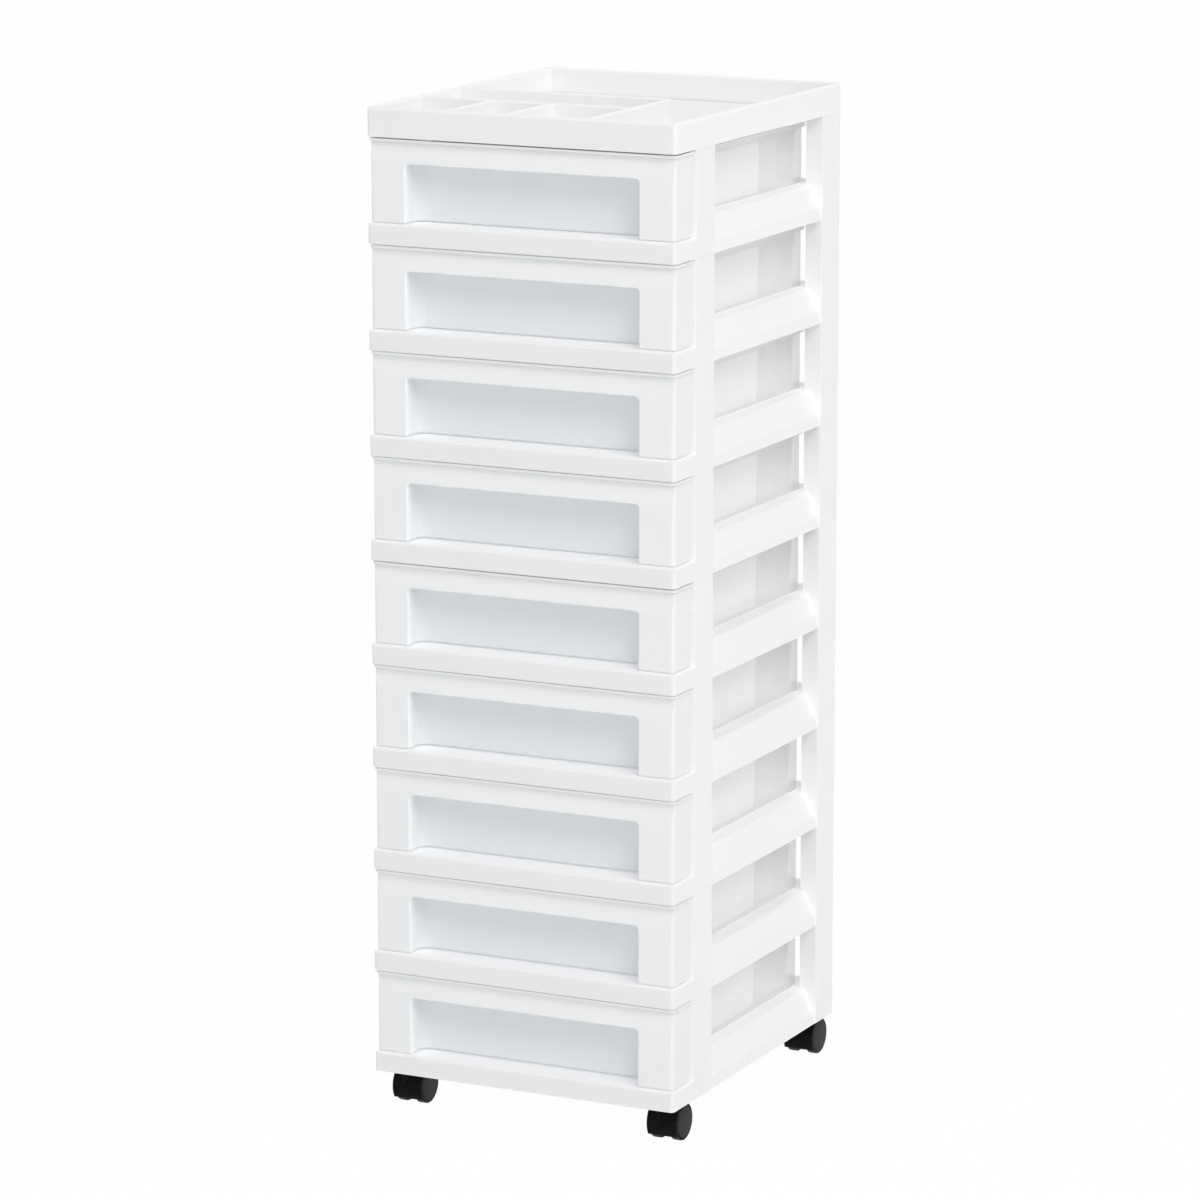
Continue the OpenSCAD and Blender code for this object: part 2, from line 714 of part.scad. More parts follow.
top_tray();
tier_frame(1);  // frame_1
tier_frame(2);  // frame_2
tier_frame(3);  // frame_3
tier_frame(4);  // frame_4
tier_frame(5);  // frame_5
tier_frame(6);  // frame_6
tier_frame(7);  // frame_7
tier_frame(8);  // frame_8
tier_frame(tiers);  // base_frame
drawer(1);  // drawer_1
drawer(2);  // drawer_2
drawer(3);  // drawer_3
drawer(4);  // drawer_4
drawer(5);  // drawer_5
drawer(6);  // drawer_6
drawer(7);  // drawer_7
drawer(8);  // drawer_8
drawer(9);  // drawer_9
stem(-1, -1);  // stem_front_left
hood(-1, -1);  // hood_front_left
axle(-1, -1);  // axle_front_left
wheel(-1, -1, -1);  // wheel_front_left_l
wheel(-1, -1, 1);  // wheel_front_left_r
stem(1, -1);  // stem_front_right
hood(1, -1);  // hood_front_right
axle(1, -1);  // axle_front_right
wheel(1, -1, -1);  // wheel_front_right_l
wheel(1, -1, 1);  // wheel_front_right_r
stem(-1, 1);  // stem_rear_left
hood(-1, 1);  // hood_rear_left
axle(-1, 1);  // axle_rear_left
wheel(-1, 1, -1);  // wheel_rear_left_l
wheel(-1, 1, 1);  // wheel_rear_left_r
stem(1, 1);  // stem_rear_right
hood(1, 1);  // hood_rear_right
axle(1, 1);  // axle_rear_right
wheel(1, 1, -1);  // wheel_rear_right_l
wheel(1, 1, 1);  // wheel_rear_right_r
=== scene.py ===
"""White drawer tower in a plain bright studio: finishes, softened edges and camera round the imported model."""
import logging
import math
from dataclasses import dataclass, replace
from enum import Enum
from typing import Any

import bpy
from mathutils import Matrix, Vector


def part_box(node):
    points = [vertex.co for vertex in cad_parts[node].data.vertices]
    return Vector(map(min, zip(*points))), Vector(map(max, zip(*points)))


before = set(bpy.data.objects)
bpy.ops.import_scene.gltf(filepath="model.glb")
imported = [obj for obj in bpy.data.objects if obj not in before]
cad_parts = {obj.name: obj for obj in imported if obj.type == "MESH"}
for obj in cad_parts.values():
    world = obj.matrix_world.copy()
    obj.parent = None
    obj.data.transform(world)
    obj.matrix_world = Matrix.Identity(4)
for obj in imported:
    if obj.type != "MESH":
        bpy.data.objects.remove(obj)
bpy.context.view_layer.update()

EDGE_BAND = "edge_band"      # mesh attribute that marks the small radii
TIERS = 9
BASE_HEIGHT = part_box("base_frame")[0][2]                           # where the lowest tier starts
TIER_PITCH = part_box("frame_1")[0][2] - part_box("frame_2")[0][2]     # from one tier to the next
log = logging.getLogger("drawer_tower")

Colour = tuple[float, float, float]      # linear red, green and blue
Point = tuple[float, float, float]


def linear(red: int, green: int, blue: int) -> Colour:
    """Turns a colour in display values into the linear one that shaders take.

    Args:
        red: Red, 0 to 255.
        green: Green, 0 to 255.
        blue: Blue, 0 to 255.

    Returns:
        The same colour with linear values from 0 to 1.
    """
    def one(value: float) -> float:
        """Returns one channel, linear."""
        return value / 12.92 if value <= 0.04045 else ((value + 0.055) / 1.055) ** 2.4

    return one(red / 255), one(green / 255), one(blue / 255)


def rgba(colour: Colour) -> tuple[float, float, float, float]:
    """Returns a colour with full opacity, as colour sockets take it."""
    return (*colour, 1.0)


class Bench:
    """Adds and joins the nodes of one node tree."""

    MIX_INPUTS = (0, 6, 7)      # a Mix node's inputs for factor and the two colours

    def __init__(self, tree: bpy.types.NodeTree) -> None:
        """Keeps the tree to work on."""
        self.tree = tree

    def add(self, kind: str, inputs: dict[Any, Any] | None = None, **settings: Any) -> bpy.types.Node:
        """Adds a node.

        Args:
            kind: Blender's name of the node type.
            inputs: Value or output socket for each input, by name or number.
            **settings: The node's own properties.

        Returns:
            The new node.
        """
        node = self.tree.nodes.new(kind)
        for key, value in settings.items():
            setattr(node, key, value)
        for key, value in (inputs or {}).items():
            self.feed(node.inputs[key], value)
        return node

    def feed(self, socket: bpy.types.NodeSocket, value: Any) -> None:
        """Sets an input socket, or joins an output socket to it.

        Args:
            socket: The input socket.
            value: A value for it, or the output socket to join.
        """
        if isinstance(value, bpy.types.NodeSocket):
            self.tree.links.new(value, socket)
        else:
            socket.default_value = value

    def where(self) -> bpy.types.NodeSocket:
        """Returns the place on the surface, in the object's own coordinates."""
        return self.add("ShaderNodeTexCoord").outputs["Object"]

    def axes(self, vector: bpy.types.NodeSocket) -> Any:
        """Returns a vector's three parts, by the names X, Y and Z."""
        return self.add("ShaderNodeSeparateXYZ", {0: vector}).outputs

    def math(self, operation: str, a: Any, b: Any = 0.0, clamp: bool = False) -> bpy.types.NodeSocket:
        """Adds a Math node.

        Args:
            operation: Blender's name of the operation.
            a: First value or socket.
            b: Second value or socket.
            clamp: Whether the result is held between 0 and 1.

        Returns:
            The result.
        """
        return self.add("ShaderNodeMath", {0: a, 1: b}, operation=operation, use_clamp=clamp).outputs[0]

    def remap(self, value: Any, low: Any, high: Any, to_low: float,
              to_high: float) -> bpy.types.NodeSocket:
        """Maps a value smoothly from one span to another and holds it there.

        Args:
            value: Value or socket to map.
            low: Start of the first span, as a value or socket.
            high: End of the first span, as a value or socket.
            to_low: What the start becomes.
            to_high: What the end becomes.

        Returns:
            The mapped value.
        """
        sockets = {"Value": value, "From Min": low, "From Max": high, "To Min": to_low, "To Max": to_high}
        return self.add("ShaderNodeMapRange", sockets, interpolation_type="SMOOTHSTEP").outputs[0]

    def blend(self, factor: Any, first: Any, second: Any) -> bpy.types.NodeSocket:
        """Mixes two colours.

        Args:
            factor: Share of the second colour, from 0 to 1.
            first: Colour at 0.
            second: Colour at 1.

        Returns:
            The mixed colour.
        """
        node = self.add("ShaderNodeMix", data_type="RGBA", blend_type="MIX")
        for number, value in zip(self.MIX_INPUTS, (factor, first, second)):
            self.feed(node.inputs[number], value)
        return node.outputs[2]

    def noise(self, where: Any, scale: Any, detail: float = 2.0, rough: float = 0.5) -> bpy.types.NodeSocket:
        """Adds a noise texture.

        Args:
            where: Place socket.
            scale: Waves to the metre, as a value or socket.
            detail: How many finer layers it has.
            rough: How strong the finer layers are.

        Returns:
            The noise, from 0 to 1.
        """
        sockets = {"Vector": where, "Scale": scale, "Detail": detail, "Roughness": rough}
        return self.add("ShaderNodeTexNoise", sockets).outputs["Fac"]


class Effect(Enum):
    """Surface effects that several finishes share, by the name of their node group."""

    GRAIN = "moulded_grain"
    FLOW = "milky_flow"
    EDGES = "handled_edges"
    DUST = "settled_dust"
    SCUFFS = "sliding_scuffs"
    ZONE = "depth_zone"
    PAINTED_GLOW = "light_soaked_in"
    CREVICE = "shaded_crevices"
    PAINTED_REFLECTION = "polished_panels"
    SIDES = "turned_sides"


class SurfaceEffects:
    """Builds each shared node group once and places it in materials."""

    VALUE = "NodeSocketFloat"
    COLOUR = "NodeSocketColor"
    # Scales of the noises, in waves to the metre.
    WAVES = 14.0
    UNEVEN_PATCHES = 9.0
    EDGE_WEAR = 160.0
    DUST_SPECKS = 420.0
    SCUFF_LINES = 700.0
    SCUFF_PATCHES = 18.0
    # How much a noise is drawn out, as scales along X, Y and Z.
    STREAKS = (3.0, 3.0, 40.0)
    SCUFF_DRAW = (1.0, 0.035, 1.0)
    # Spans over which a mask goes from none to full, or the other way.
    UNEVEN_SPAN = (0.25, 0.75)
    FLOW_SPAN = (0.35, 0.68)
    WEAR_SPAN = (0.35, 0.65)
    CREVICE_SPAN = (0.35, 0.85)
    SPECK_SPAN = (0.52, 0.72)
    UPWARD_SPAN = (0.75, 1.0)
    LINE_SPAN = (0.6, 0.74)
    PATCH_SPAN = (0.5, 0.68)
    CLOUD_SHARE = 0.75             # of the clouds in the flow; the streaks have the rest
    OCCLUSION_SAMPLES = 2

    def __init__(self) -> None:
        """Builds all the groups."""
        self.groups = {
            Effect.GRAIN: self._grain(),
            Effect.FLOW: self._flow(),
            Effect.EDGES: self._edges(),
            Effect.DUST: self._dust(),
            Effect.SCUFFS: self._scuffs(),
            Effect.ZONE: self._zone(),
            Effect.PAINTED_GLOW: self._painted_glow(),
            Effect.CREVICE: self._crevice_shade(),
            Effect.PAINTED_REFLECTION: self._painted_reflection(),
            Effect.SIDES: self._sides(),
        }

    def place(self, bench: Bench, effect: Effect, **values: Any) -> bpy.types.Node:
        """Places a group in a material.

        Args:
            bench: The material's bench.
            effect: Which group.
            **values: Value or socket for each of the group's inputs, with _ for a space in its name.

        Returns:
            The group node.
        """
        node = bench.add("ShaderNodeGroup", node_tree=self.groups[effect])
        for name, value in values.items():
            bench.feed(node.inputs[name.replace("_", " ")], value)
        return node

    def _start(self, effect: Effect, inputs: dict[str, Any],
               outputs: dict[str, str]) -> tuple[Bench, bpy.types.Node, bpy.types.Node]:
        """Opens a group with its sockets.

        Args:
            effect: Which group.
            inputs: First value of each input; a tuple makes it a colour.
            outputs: Socket type of each output.

        Returns:
            The group's bench, its input node and its output node.
        """
        tree = bpy.data.node_groups.new(effect.value, "ShaderNodeTree")
        for name, value in inputs.items():
            kind = self.COLOUR if isinstance(value, tuple) else self.VALUE
            tree.interface.new_socket(name, in_out="INPUT", socket_type=kind).default_value = value
        for name, kind in outputs.items():
            tree.interface.new_socket(name, in_out="OUTPUT", socket_type=kind)
        bench = Bench(tree)
        return bench, bench.add("NodeGroupInput"), bench.add("NodeGroupOutput")

    def _grain(self) -> bpy.types.NodeTree:
        """Returns the fine spark-eroded texture of a mould, as height and as a shift in roughness."""
        bench, given, out = self._start(Effect.GRAIN, {"Scale": 2600.0, "Waviness": 0.3, "Unevenness": 0.02},
                                        {"Height": self.VALUE, "Rough Shift": self.VALUE})
        where = bench.where()
        fine = bench.noise(where, given.outputs["Scale"], 3.0, 0.6)
        slow = bench.noise(where, self.WAVES, 1.0)
        wave = bench.math("MULTIPLY", slow, given.outputs["Waviness"])
        bench.feed(out.inputs["Height"], bench.math("ADD", fine, wave))
        patches = bench.remap(bench.noise(where, self.UNEVEN_PATCHES), *self.UNEVEN_SPAN, -1.0, 1.0)
        bench.feed(out.inputs["Rough Shift"], bench.math("MULTIPLY", patches, given.outputs["Unevenness"]))
        return bench.tree

    def _flow(self) -> bpy.types.NodeTree:
        """Returns the uneven tint that the melt leaves: broad clouds and faint drawn-out streaks."""
        bench, given, out = self._start(
            Effect.FLOW,
            {"Base": (0.9, 0.9, 0.9, 1.0), "Shade": (0.8, 0.8, 0.8, 1.0), "Scale": 9.0, "Amount": 0.5},
            {"Color": self.COLOUR})
        where = bench.where()
        clouds = bench.noise(where, given.outputs["Scale"], 3.0, 0.55)
        drawn = bench.add("ShaderNodeMapping", {"Vector": where, "Scale": self.STREAKS}).outputs[0]
        streaks = bench.noise(drawn, given.outputs["Scale"])
        both = bench.math("ADD", bench.math("MULTIPLY", clouds, self.CLOUD_SHARE),
                          bench.math("MULTIPLY", streaks, 1.0 - self.CLOUD_SHARE))
        mask = bench.remap(both, *self.FLOW_SPAN, 0.0, 1.0)
        amount = bench.math("MULTIPLY", mask, given.outputs["Amount"])
        bench.feed(out.inputs["Color"], bench.blend(amount, given.outputs["Base"], given.outputs["Shade"]))
        return bench.tree

    def _edges(self) -> bpy.types.NodeTree:
        """Returns a mask along the small radii, broken up by noise: rubbed wear from hands and other mouldings,
        and a painted highlight along them.
        """
        bench, given, out = self._start(Effect.EDGES, {"Breakup": 0.5}, {"Mask": self.VALUE})
        band = bench.add("ShaderNodeAttribute", attribute_name=EDGE_BAND).outputs["Fac"]
        where = bench.where()
        worn = bench.remap(bench.noise(where, self.EDGE_WEAR, 3.0), *self.WEAR_SPAN, 0.0, 1.0)
        kept = bench.math("SUBTRACT", 1.0, bench.math("MULTIPLY", worn, given.outputs["Breakup"]))
        bench.feed(out.inputs["Mask"], bench.math("MULTIPLY", band, kept))
        return bench.tree

    def _zone(self) -> bpy.types.NodeTree:
        """Returns a mask that rises along the depth between two places, within a half width of the middle."""
        bench, given, out = self._start(Effect.ZONE, {"From": 0.0, "To": 1.0, "Half Width": 1.0},
                                        {"Mask": self.VALUE})
        axes = bench.axes(bench.where())
        depth = bench.add("ShaderNodeMapRange", {"Value": axes["Y"], "From Min": given.outputs["From"],
                                                 "From Max": given.outputs["To"]}).outputs[0]
        side = bench.math("ABSOLUTE", axes["X"])
        inside = bench.math("LESS_THAN", side, given.outputs["Half Width"])
        bench.feed(out.inputs["Mask"], bench.math("MULTIPLY", depth, inside))
        return bench.tree

    def _painted_glow(self) -> bpy.types.NodeTree:
        """Returns painted light: a glow for the pale plastic's corners, where little light reaches, in place of
        the light that bounces into them.
        """
        bench, given, out = self._start(
            Effect.PAINTED_GLOW, {"Tint": (1.0, 1.0, 1.0, 1.0), "Reach": 0.05, "Amount": 0.5}, {"Light": self.COLOUR})
        open_sky = bench.add("ShaderNodeAmbientOcclusion", {"Distance": given.outputs["Reach"]},
                             samples=self.OCCLUSION_SAMPLES)
        hidden = bench.math("SUBTRACT", 1.0, open_sky.outputs["AO"])
        share = bench.math("MULTIPLY", hidden, given.outputs["Amount"])
        bench.feed(out.inputs["Light"], bench.blend(share, rgba((0.0, 0.0, 0.0)), given.outputs["Tint"]))
        return bench.tree

    def _crevice_shade(self) -> bpy.types.NodeTree:
        """Returns a mask of the narrow gaps and inner corners, for the painted shade that darkens them."""
        bench, given, out = self._start(Effect.CREVICE, {"Reach": 0.003, "Amount": 0.5}, {"Mask": self.VALUE})
        near = bench.add("ShaderNodeAmbientOcclusion", {"Distance": given.outputs["Reach"]},
                         samples=self.OCCLUSION_SAMPLES)
        hidden = bench.remap(near.outputs["AO"], *self.CREVICE_SPAN, 1.0, 0.0)
        bench.feed(out.inputs["Mask"], bench.math("MULTIPLY", hidden, given.outputs["Amount"]))
        return bench.tree

    def _painted_reflection(self) -> bpy.types.NodeTree:
        """Returns a mask of a painted reflection: a brighter patch on the sides of each tier's tub, by depth
        and height.
        """
        bench, given, out = self._start(
            Effect.PAINTED_REFLECTION, {"Back": 0.05, "Start": 0.0, "Pitch": 0.1, "Low": 0.03, "High": 0.08},
            {"Mask": self.VALUE})
        axes = bench.axes(bench.where())
        above = bench.math("SUBTRACT", axes["Z"], given.outputs["Start"])
        height = bench.math("FLOORED_MODULO", above, given.outputs["Pitch"])
        inside = bench.math("MULTIPLY", bench.math("GREATER_THAN", height, given.outputs["Low"]),
                            bench.math("LESS_THAN", height, given.outputs["High"]))
        ahead = bench.math("LESS_THAN", axes["Y"], given.outputs["Back"])
        bench.feed(out.inputs["Mask"], bench.math("MULTIPLY", inside, ahead))
        return bench.tree

    def _sides(self) -> bpy.types.NodeTree:
        """Returns a mask that rises with the distance from the middle, round to the sides of a front, for the
        painted shade there.
        """
        bench, given, out = self._start(Effect.SIDES, {"From": 0.0, "To": 1.0}, {"Mask": self.VALUE})
        axes = bench.axes(bench.where())
        side = bench.math("ABSOLUTE", axes["X"])
        side_shade = bench.remap(side, given.outputs["From"], given.outputs["To"], 0.0, 1.0)
        bench.feed(out.inputs["Mask"], side_shade)
        return bench.tree

    def _dust(self) -> bpy.types.NodeTree:
        """Returns a mask of the little dust that settles on surfaces that face up."""
        bench, given, out = self._start(Effect.DUST, {"Amount": 0.3}, {"Mask": self.VALUE})
        up = bench.axes(bench.add("ShaderNodeNewGeometry").outputs["Normal"])["Z"]
        where = bench.where()
        specks = bench.remap(bench.noise(where, self.DUST_SPECKS, 4.0, 0.7), *self.SPECK_SPAN, 0.0, 1.0)
        facing = bench.remap(up, *self.UPWARD_SPAN, 0.0, 1.0)
        mask = bench.math("MULTIPLY", bench.math("MULTIPLY", specks, facing), given.outputs["Amount"])
        bench.feed(out.inputs["Mask"], mask)
        return bench.tree

    def _scuffs(self) -> bpy.types.NodeTree:
        """Returns faint scuffs drawn out along the depth, the way the drawers slide."""
        bench, given, out = self._start(Effect.SCUFFS, {"Amount": 0.5}, {"Mask": self.VALUE})
        where = bench.where()
        drawn = bench.add("ShaderNodeMapping", {"Vector": where, "Scale": self.SCUFF_DRAW}).outputs[0]
        lines = bench.remap(bench.noise(drawn, self.SCUFF_LINES, 2.0, 0.6), *self.LINE_SPAN, 0.0, 1.0)
        patches = bench.remap(bench.noise(where, self.SCUFF_PATCHES), *self.PATCH_SPAN, 0.0, 1.0)
        mask = bench.math("MULTIPLY", bench.math("MULTIPLY", lines, patches), given.outputs["Amount"])
        bench.feed(out.inputs["Mask"], mask)
        return bench.tree


def new_material(name: str) -> tuple[bpy.types.Material, Bench, bpy.types.Node]:
    """Starts a material.

    Args:
        name: The material's name.

    Returns:
        The material, its bench and its Principled shader, already joined to the output.
    """
    material = bpy.data.materials.new(name)
    material.use_nodes = True
    material.node_tree.nodes.clear()
    bench = Bench(material.node_tree)
    shader = bench.add("ShaderNodeBsdfPrincipled")
    bench.add("ShaderNodeOutputMaterial", {"Surface": shader.outputs[0]})
    return material, bench, shader


@dataclass(frozen=True)
class Grain:
    """How fine and how deep a plastic's or metal's grain is."""

    scale: float
    strength: float
    depth: float

    def lay_on(self, bench: Bench, shader: bpy.types.Node, grain: bpy.types.Node) -> None:
        """Joins the grain's height to a shader.

        Args:
            bench: The material's bench.
            shader: The material's shader.
            grain: The placed grain group.
        """
        heights = {"Strength": self.strength, "Distance": self.depth, "Height": grain.outputs["Height"]}
        bench.feed(shader.inputs["Normal"], bench.add("ShaderNodeBump", heights).outputs[0])


def paint_corner_glow(bench: Bench, shader: bpy.types.Node, effects: SurfaceEffects, tint: Colour,
                 amount: float) -> None:
    """Paints a glow into a pale plastic's corners, as emission in place of the light that bounces into them.

    Args:
        bench: The material's bench.
        shader: The material's shader.
        effects: The shared effects.
        tint: The plastic's colour.
        amount: Painted glow where nothing else reaches.
    """
    light = effects.place(bench, Effect.PAINTED_GLOW, Tint=rgba(tint), Amount=amount).outputs["Light"]
    bench.feed(shader.inputs["Emission Color"], light)
    bench.feed(shader.inputs["Emission Strength"], 1.0)


@dataclass(frozen=True)
class MouldedPlastic:
    """Opaque moulded plastic: satin grain, faint flow marks, softened edges with rubbed wear and a painted
    highlight, a trace of dust, painted shade in the gaps and a painted glow in the corners.
    """

    name: str
    base: Colour
    shade: Colour
    # Edge colour: rubbed wear and a painted highlight.
    edge: Colour
    dust: Colour
    roughness: float
    grain: Grain = Grain(scale=2600.0, strength=0.35, depth=0.00002)
    shade_amount: float = 0.6
    edge_amount: float = 0.5
    dust_amount: float = 0.25
    dust_roughness: float = 0.3
    scuff_amount: float = 0.3
    scuff_roughness: float = 0.25
    # Painted shade: the colour that narrow gaps and inner corners are darkened to.
    crevice_shade: Colour = linear(120, 122, 124)
    crevice_shade_amount: float = 0.0
    # Painted glow in the corners, as emission; 0 leaves it out.
    painted_glow: float = 0.0
    shine: float = 0.5

    def build(self, effects: SurfaceEffects) -> bpy.types.Material:
        """Builds the material.

        Args:
            effects: The shared effects.

        Returns:
            The material.
        """
        material, bench, shader = new_material(self.name)
        grain = effects.place(bench, Effect.GRAIN, Scale=self.grain.scale)
        flow = effects.place(bench, Effect.FLOW, Base=rgba(self.base), Shade=rgba(self.shade),
                             Amount=self.shade_amount)
        edges = effects.place(bench, Effect.EDGES).outputs["Mask"]
        dust = effects.place(bench, Effect.DUST, Amount=self.dust_amount).outputs["Mask"]
        scuffs = effects.place(bench, Effect.SCUFFS, Amount=self.scuff_amount).outputs["Mask"]
        # Rubbed wear and a painted highlight along the edges.
        worn = bench.blend(bench.math("MULTIPLY", edges, self.edge_amount), flow.outputs["Color"],
                           rgba(self.edge))
        dusty = bench.blend(dust, worn, rgba(self.dust))
        # Painted shade in the gaps and corners.
        crevice_shade = effects.place(bench, Effect.CREVICE, Amount=self.crevice_shade_amount).outputs["Mask"]
        bench.feed(shader.inputs["Base Color"], bench.blend(crevice_shade, dusty, rgba(self.crevice_shade)))
        rough = bench.math("ADD", grain.outputs["Rough Shift"], self.roughness)
        rough = bench.math("ADD", rough, bench.math("MULTIPLY", scuffs, self.scuff_roughness))
        rough = bench.math("ADD", rough, bench.math("MULTIPLY", dust, self.dust_roughness), clamp=True)
        bench.feed(shader.inputs["Roughness"], rough)
        self.grain.lay_on(bench, shader, grain)
        bench.feed(shader.inputs["Specular IOR Level"], self.shine)
        # Painted glow, emitted where the corners are hidden.
        if self.painted_glow > 0:
            paint_corner_glow(bench, shader, effects, self.base, self.painted_glow)
        return material


@dataclass(frozen=True)
class CloudyPlastic:
    """Milky plastic of the drawers: the front is satin, the tub behind it given a high polish and a clear coat.
    Painted shade darkens the tub, the hollow of the front, its sides and the gaps; a painted reflection
    brightens the tub's sides, a painted highlight the edges and a painted glow the corners.
    """

    name: str
    base: Colour
    shade: Colour
    # Edge colour: rubbed wear and a painted highlight, held back in the hollow and on the sides.
    edge: Colour
    # Painted shade: the hollow behind the front's face is darker.
    recess_shade: Colour
    # Painted shade: the tub behind the front is darker and warmer.
    tub: Colour
    roughness: float
    polish: float
    # Painted glow in the corners, as emission.
    painted_glow: float
    recess_span: tuple[float, float]
    recess_half_width: float
    tub_span: tuple[float, float]
    # Painted reflection: the brighter colour of a patch on the tub's sides.
    painted_reflection: Colour
    reflection_back: float
    reflection_heights: tuple[float, float]
    # Painted shade: the sides of the front are darker.
    side: Colour
    side_shade_span: tuple[float, float]
    # Painted shade: the colour of the darkened gaps and corners.
    crevice_shade: Colour
    crevice_shade_amount: float
    grain: Grain = Grain(scale=1800.0, strength=0.25, depth=0.00002)
    shade_scale: float = 12.0
    shade_amount: float = 0.8
    edge_amount: float = 0.6
    edge_breakup: float = 0.3
    ior: float = 1.49
    coat_roughness: float = 0.03
    coat_ior: float = 2.1

    def build(self, effects: SurfaceEffects) -> bpy.types.Material:
        """Builds the material.

        Args:
            effects: The shared effects.

        Returns:
            The material.
        """
        material, bench, shader = new_material(self.name)
        grain = effects.place(bench, Effect.GRAIN, Scale=self.grain.scale, Waviness=0.0, Unevenness=0.0)
        flow = effects.place(bench, Effect.FLOW, Base=rgba(self.base), Shade=rgba(self.shade),
                             Scale=self.shade_scale, Amount=self.shade_amount)
        edges = effects.place(bench, Effect.EDGES, Breakup=self.edge_breakup).outputs["Mask"]
        # Painted shade, darker into the hollow of the front.
        low, high = self.recess_span
        recess_shade = effects.place(bench, Effect.ZONE, From=low, To=high,
                               Half_Width=self.recess_half_width).outputs["Mask"]
        low, high = self.tub_span
        tub = effects.place(bench, Effect.ZONE, From=low, To=high).outputs["Mask"]
        # Painted shade on the sides of the front.
        low, high = self.side_shade_span
        side_shade = effects.place(bench, Effect.SIDES, From=low, To=high).outputs["Mask"]
        colour = bench.blend(side_shade, flow.outputs["Color"], rgba(self.side))
        colour = bench.blend(recess_shade, colour, rgba(self.recess_shade))
        # Painted shade over the tub; the same mask below gives it its real polish and coat.
        colour = bench.blend(tub, colour, rgba(self.tub))
        # Painted reflection on the sides of the tub.
        low, high = self.reflection_heights
        painted_reflection = effects.place(bench, Effect.PAINTED_REFLECTION, Back=self.reflection_back, Start=BASE_HEIGHT, Pitch=TIER_PITCH,
                              Low=low, High=high).outputs["Mask"]
        reflection_mask = bench.math("MULTIPLY", painted_reflection, tub)
        colour = bench.blend(reflection_mask, colour, rgba(self.painted_reflection))
        # Rubbed wear and a painted highlight along the edges, kept out of the hollow and the sides.
        taken = bench.math("MULTIPLY", bench.math("MAXIMUM", recess_shade, side_shade), self.edge_amount)
        outside = bench.math("SUBTRACT", self.edge_amount, taken)
        colour = bench.blend(bench.math("MULTIPLY", edges, outside), colour, rgba(self.edge))
        # Painted shade in the gaps and corners.
        crevice_shade = effects.place(bench, Effect.CREVICE, Amount=self.crevice_shade_amount).outputs["Mask"]
        bench.feed(shader.inputs["Base Color"], bench.blend(crevice_shade, colour, rgba(self.crevice_shade)))
        rough = bench.math("ADD", grain.outputs["Rough Shift"], self.roughness)
        smoother = bench.math("MULTIPLY", tub, self.roughness - self.polish)
        bench.feed(shader.inputs["Roughness"], bench.math("SUBTRACT", rough, smoother, clamp=True))
        self.grain.lay_on(bench, shader, grain)
        # Painted glow in the corners.
        paint_corner_glow(bench, shader, effects, self.base, self.painted_glow)
        bench.feed(shader.inputs["IOR"], self.ior)
        bench.feed(shader.inputs["Coat Weight"], tub)
        bench.feed(shader.inputs["Coat Roughness"], self.coat_roughness)
        bench.feed(shader.inputs["Coat IOR"], self.coat_ior)
        return material


@dataclass(frozen=True)
class BrightSteel:
    """Plain drawn steel of the stems and axles, slightly clouded."""

    name: str
    base: Colour
    shade: Colour
    roughness: float
    grain: Grain = Grain(scale=4200.0, strength=0.2, depth=0.00001)
    shade_scale: float = 60.0

    def build(self, effects: SurfaceEffects) -> bpy.types.Material:
        """Builds the material.

        Args:
            effects: The shared effects.

        Returns:
            The material.
        """
        material, bench, shader = new_material(self.name)
        flow = effects.place(bench, Effect.FLOW, Base=rgba(self.base), Shade=rgba(self.shade),
                             Scale=self.shade_scale)
        grain = effects.place(bench, Effect.GRAIN, Scale=self.grain.scale)
        bench.feed(shader.inputs["Base Color"], flow.outputs["Color"])
        rough = bench.math("ADD", grain.outputs["Rough Shift"], self.roughness, clamp=True)
        bench.feed(shader.inputs["Roughness"], rough)
        self.grain.lay_on(bench, shader, grain)
        bench.feed(shader.inputs["Metallic"], 1.0)
        return material


# The glow in the corners of frames and drawers is painted light, emitted in place of bounced light.
FRAME_WHITE = MouldedPlastic(
    # The edge colours of these finishes are rubbed wear and a painted highlight.
    "frame_white", base=linear(249, 249, 250), shade=linear(247, 247, 248), edge=linear(253, 253, 253),
    dust=linear(238, 237, 234), roughness=0.4, painted_glow=0.2, crevice_shade_amount=0.07)
# The darkened gaps and corners in these finishes are painted shade, the near-black of the hoods and wheels most
# of all.
TRAY_WHITE = replace(FRAME_WHITE, name="tray_white", base=linear(251, 251, 252), shade=linear(249, 249, 250),
                     painted_glow=0.0, crevice_shade_amount=0.35)
DRAWER_CLOUDY = CloudyPlastic(
    "drawer_cloudy", base=linear(251, 252, 253), shade=linear(249, 251, 252), edge=linear(254, 254, 254),
    # Painted shade: the hollow of the front is darker.
    # Painted shade: the tub behind the front is darker and warmer.
    recess_shade=linear(238, 241, 243), tub=linear(229, 230, 226), roughness=0.26, polish=0.05, painted_glow=0.06,
    recess_span=(-0.177, -0.171), recess_half_width=0.122, tub_span=(-0.146, -0.142),
    # Painted reflection: a brighter patch on the tub's sides.
    painted_reflection=linear(240, 242, 242), reflection_back=0.064, reflection_heights=(0.033, 0.0795),
    # Painted shade: the sides of the front are darker.
    side=linear(243, 244, 245), side_shade_span=(0.1499, 0.1512), crevice_shade=linear(120, 124, 127), crevice_shade_amount=0.3)
